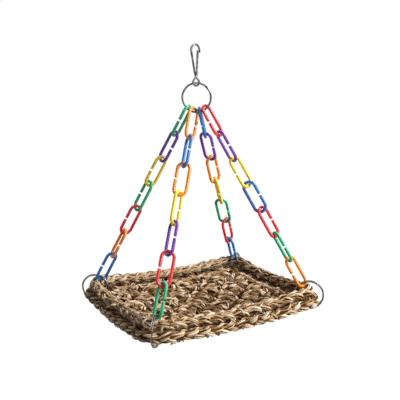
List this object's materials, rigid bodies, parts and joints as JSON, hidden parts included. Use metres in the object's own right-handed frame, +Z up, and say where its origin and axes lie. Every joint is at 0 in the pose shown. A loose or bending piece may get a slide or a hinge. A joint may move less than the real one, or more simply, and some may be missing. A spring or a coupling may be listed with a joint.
{
  "type": "hanging bird platform swing",
  "caption": "Flat woven seagrass platform for a pet bird, hung level from a wire snap hook and a split ring by chains of coloured plastic C-links to its corners.",
  "frame": {"origin": "where a cage bar bears, inside the top of the hook's bend", "axes": "+Z up, +X along the long sides of the mat, -Y to the front"},
  "size_m": [0.218, 0.182, 0.2837],
  "materials": {
    "plastic_red": "glossy moulded",
    "plastic_orange": "glossy moulded",
    "plastic_yellow": "glossy moulded",
    "plastic_green": "glossy moulded",
    "plastic_blue": "glossy moulded",
    "plastic_purple": "glossy moulded",
    "nickel_wire": "nickel-plated steel wire",
    "seagrass": "dry plaited seagrass"
  },
  "bodies": {
    "hook": {"hook_body": "nickel_wire"},
    "gate": {"hook_gate": "nickel_wire"},
    "top_ring": {"top_ring": "nickel_wire"},
    "mat": {"outer_rim_plait": "seagrass", "inner_rim_plait": "seagrass", "lengthwise_band_1": "seagrass", "lengthwise_band_2": "seagrass", "lengthwise_band_3": "seagrass", "lengthwise_band_4": "seagrass", "lengthwise_band_5": "seagrass", "lengthwise_band_6": "seagrass", "lengthwise_band_7": "seagrass", "crosswise_band_1": "seagrass", "crosswise_band_2": "seagrass", "crosswise_band_3": "seagrass", "crosswise_band_4": "seagrass", "crosswise_band_5": "seagrass", "crosswise_band_6": "seagrass", "crosswise_band_7": "seagrass", "crosswise_band_8": "seagrass"},
    "corner_ring_back_left": {"corner_ring_back_left": "nickel_wire"},
    "link_back_left_1": {"link_back_left_1": "plastic_green"},
    "link_back_left_2": {"link_back_left_2": "plastic_purple"},
    "link_back_left_3": {"link_back_left_3": "plastic_yellow"},
    "link_back_left_4": {"link_back_left_4": "plastic_green"},
    "link_back_left_5": {"link_back_left_5": "plastic_red"},
    "link_back_left_6": {"link_back_left_6": "plastic_orange"},
    "link_back_left_7": {"link_back_left_7": "plastic_blue"},
    "corner_ring_front_left": {"corner_ring_front_left": "nickel_wire"},
    "link_front_left_1": {"link_front_left_1": "plastic_orange"},
    "link_front_left_2": {"link_front_left_2": "plastic_blue"},
    "link_front_left_3": {"link_front_left_3": "plastic_orange"},
    "link_front_left_4": {"link_front_left_4": "plastic_yellow"},
    "link_front_left_5": {"link_front_left_5": "plastic_purple"},
    "link_front_left_6": {"link_front_left_6": "plastic_red"},
    "link_front_left_7": {"link_front_left_7": "plastic_green"},
    "corner_ring_back_right": {"corner_ring_back_right": "nickel_wire"},
    "link_back_right_1": {"link_back_right_1": "plastic_blue"},
    "link_back_right_2": {"link_back_right_2": "plastic_purple"},
    "link_back_right_3": {"link_back_right_3": "plastic_orange"},
    "link_back_right_4": {"link_back_right_4": "plastic_yellow"},
    "link_back_right_5": {"link_back_right_5": "plastic_green"},
    "link_back_right_6": {"link_back_right_6": "plastic_red"},
    "link_back_right_7": {"link_back_right_7": "plastic_blue"},
    "corner_ring_front_right": {"corner_ring_front_right": "nickel_wire"},
    "link_front_right_1": {"link_front_right_1": "plastic_red"},
    "link_front_right_2": {"link_front_right_2": "plastic_purple"},
    "link_front_right_3": {"link_front_right_3": "plastic_yellow"},
    "link_front_right_4": {"link_front_right_4": "plastic_blue"},
    "link_front_right_5": {"link_front_right_5": "plastic_red"},
    "link_front_right_6": {"link_front_right_6": "plastic_green"},
    "link_front_right_7": {"link_front_right_7": "plastic_orange"}
  },
  "joints": [
    {"name": "gate_hinge", "type": "hinge", "parent": "hook", "child": "gate", "pos_m": [0.00068, -0.00096, -0.02713], "axis": [0.2588, -0.9659, 0], "range_deg": [0, 12], "stiffness_Nm_per_rad": 0.02, "springref_deg": -5.73},
    {"name": "ring_swing", "type": "hinge", "parent": "hook", "child": "top_ring", "pos_m": [0, 0, -0.0379], "axis": [0.7809, -0.6247, 0], "range_deg": [-35, 35]},
    {"name": "mat_swing", "type": "hinge", "parent": "top_ring", "child": "mat", "pos_m": [0, 0, -0.0529], "axis": [0.6247, 0.7809, 0], "range_deg": [-25, 25]},
    {"name": "corner_ring_back_left_turn", "type": "hinge", "parent": "mat", "child": "corner_ring_back_left", "pos_m": [-0.09578, 0.07263, -0.2611], "axis": [-0.6247, -0.7809, 0], "range_deg": [-20, 20]},
    {"name": "corner_ring_front_left_turn", "type": "hinge", "parent": "mat", "child": "corner_ring_front_left", "pos_m": [-0.09167, -0.07469, -0.26401], "axis": [0.7508, -0.6605, 0], "range_deg": [-20, 20]},
    {"name": "corner_ring_back_right_turn", "type": "hinge", "parent": "mat", "child": "corner_ring_back_right", "pos_m": [0.09073, 0.07258, -0.26538], "axis": [-0.6247, 0.7809, 0], "range_deg": [-20, 20]},
    {"name": "corner_ring_front_right_turn", "type": "hinge", "parent": "mat", "child": "corner_ring_front_right", "pos_m": [0.09086, -0.07269, -0.26371], "axis": [0.6247, 0.7809, 0], "range_deg": [-20, 20]},
    {"name": "link_back_left_1_twist", "type": "hinge", "parent": "mat", "child": "link_back_left_1", "pos_m": [-0.01286, 0.01002, -0.07674], "axis": [0.3918, -0.2945, 0.8716], "range_deg": [-4, 4]},
    {"name": "link_back_left_2_twist", "type": "hinge", "parent": "mat", "child": "link_back_left_2", "pos_m": [-0.02479, 0.01899, -0.10328], "axis": [0.3918, -0.2945, 0.8716], "range_deg": [-4, 4]},
    {"name": "link_back_left_3_twist", "type": "hinge", "parent": "mat", "child": "link_back_left_3", "pos_m": [-0.03672, 0.02795, -0.12982], "axis": [0.3918, -0.2945, 0.8716], "range_deg": [-4, 4]},
    {"name": "link_back_left_4_twist", "type": "hinge", "parent": "mat", "child": "link_back_left_4", "pos_m": [-0.04865, 0.03692, -0.15636], "axis": [0.3918, -0.2945, 0.8716], "range_deg": [-4, 4]},
    {"name": "link_back_left_5_twist", "type": "hinge", "parent": "mat", "child": "link_back_left_5", "pos_m": [-0.06058, 0.04589, -0.1829], "axis": [0.3918, -0.2945, 0.8716], "range_deg": [-4, 4]},
    {"name": "link_back_left_6_twist", "type": "hinge", "parent": "mat", "child": "link_back_left_6", "pos_m": [-0.07251, 0.05485, -0.20944], "axis": [0.3918, -0.2945, 0.8716], "range_deg": [-4, 4]},
    {"name": "link_back_left_7_twist", "type": "hinge", "parent": "mat", "child": "link_back_left_7", "pos_m": [-0.08444, 0.06382, -0.23599], "axis": [0.3918, -0.2945, 0.8716], "range_deg": [-4, 4]},
    {"name": "link_front_left_1_twist", "type": "hinge", "parent": "mat", "child": "link_front_left_1", "pos_m": [-0.00778, -0.00251, -0.07919], "axis": [0.3927, 0.3308, 0.8581], "range_deg": [-4, 4]},
    {"name": "link_front_left_2_twist", "type": "hinge", "parent": "mat", "child": "link_front_left_2", "pos_m": [-0.01999, -0.0128, -0.10587], "axis": [0.3927, 0.3308, 0.8581], "range_deg": [-4, 4]},
    {"name": "link_front_left_3_twist", "type": "hinge", "parent": "mat", "child": "link_front_left_3", "pos_m": [-0.0322, -0.02309, -0.13256], "axis": [0.3927, 0.3308, 0.8581], "range_deg": [-4, 4]},
    {"name": "link_front_left_4_twist", "type": "hinge", "parent": "mat", "child": "link_front_left_4", "pos_m": [-0.04442, -0.03338, -0.15925], "axis": [0.3927, 0.3308, 0.8581], "range_deg": [-4, 4]},
    {"name": "link_front_left_5_twist", "type": "hinge", "parent": "mat", "child": "link_front_left_5", "pos_m": [-0.05663, -0.04367, -0.18594], "axis": [0.3927, 0.3308, 0.8581], "range_deg": [-4, 4]},
    {"name": "link_front_left_6_twist", "type": "hinge", "parent": "mat", "child": "link_front_left_6", "pos_m": [-0.06884, -0.05395, -0.21262], "axis": [0.3927, 0.3308, 0.8581], "range_deg": [-4, 4]},
    {"name": "link_front_left_7_twist", "type": "hinge", "parent": "mat", "child": "link_front_left_7", "pos_m": [-0.08106, -0.06424, -0.23931], "axis": [0.3927, 0.3308, 0.8581], "range_deg": [-4, 4]},
    {"name": "link_back_right_1_twist", "type": "hinge", "parent": "mat", "child": "link_back_right_1", "pos_m": [0.00766, 0.00245, -0.07927], "axis": [-0.3841, -0.3257, 0.8639], "range_deg": [-4, 4]},
    {"name": "link_back_right_2_twist", "type": "hinge", "parent": "mat", "child": "link_back_right_2", "pos_m": [0.01961, 0.01257, -0.10614], "axis": [-0.3841, -0.3257, 0.8639], "range_deg": [-4, 4]},
    {"name": "link_back_right_3_twist", "type": "hinge", "parent": "mat", "child": "link_back_right_3", "pos_m": [0.03156, 0.0227, -0.13301], "axis": [-0.3841, -0.3257, 0.8639], "range_deg": [-4, 4]},
    {"name": "link_back_right_4_twist", "type": "hinge", "parent": "mat", "child": "link_back_right_4", "pos_m": [0.0435, 0.03283, -0.15988], "axis": [-0.3841, -0.3257, 0.8639], "range_deg": [-4, 4]},
    {"name": "link_back_right_5_twist", "type": "hinge", "parent": "mat", "child": "link_back_right_5", "pos_m": [0.05545, 0.04296, -0.18675], "axis": [-0.3841, -0.3257, 0.8639], "range_deg": [-4, 4]},
    {"name": "link_back_right_6_twist", "type": "hinge", "parent": "mat", "child": "link_back_right_6", "pos_m": [0.06739, 0.05309, -0.21361], "axis": [-0.3841, -0.3257, 0.8639], "range_deg": [-4, 4]},
    {"name": "link_back_right_7_twist", "type": "hinge", "parent": "mat", "child": "link_back_right_7", "pos_m": [0.07934, 0.06321, -0.24048], "axis": [-0.3841, -0.3257, 0.8639], "range_deg": [-4, 4]},
    {"name": "link_front_right_1_twist", "type": "hinge", "parent": "mat", "child": "link_front_right_1", "pos_m": [0.01254, -0.01003, -0.07689], "axis": [-0.3687, 0.295, 0.8815], "range_deg": [-4, 4]},
    {"name": "link_front_right_2_twist", "type": "hinge", "parent": "mat", "child": "link_front_right_2", "pos_m": [0.02379, -0.01903, -0.10379], "axis": [-0.3687, 0.295, 0.8815], "range_deg": [-4, 4]},
    {"name": "link_front_right_3_twist", "type": "hinge", "parent": "mat", "child": "link_front_right_3", "pos_m": [0.03504, -0.02803, -0.13069], "axis": [-0.3687, 0.295, 0.8815], "range_deg": [-4, 4]},
    {"name": "link_front_right_4_twist", "type": "hinge", "parent": "mat", "child": "link_front_right_4", "pos_m": [0.04629, -0.03703, -0.15759], "axis": [-0.3687, 0.295, 0.8815], "range_deg": [-4, 4]},
    {"name": "link_front_right_5_twist", "type": "hinge", "parent": "mat", "child": "link_front_right_5", "pos_m": [0.05754, -0.04603, -0.18449], "axis": [-0.3687, 0.295, 0.8815], "range_deg": [-4, 4]},
    {"name": "link_front_right_6_twist", "type": "hinge", "parent": "mat", "child": "link_front_right_6", "pos_m": [0.06879, -0.05504, -0.21139], "axis": [-0.3687, 0.295, 0.8815], "range_deg": [-4, 4]},
    {"name": "link_front_right_7_twist", "type": "hinge", "parent": "mat", "child": "link_front_right_7", "pos_m": [0.08005, -0.06404, -0.23829], "axis": [-0.3687, 0.295, 0.8815], "range_deg": [-4, 4]}
  ]
}
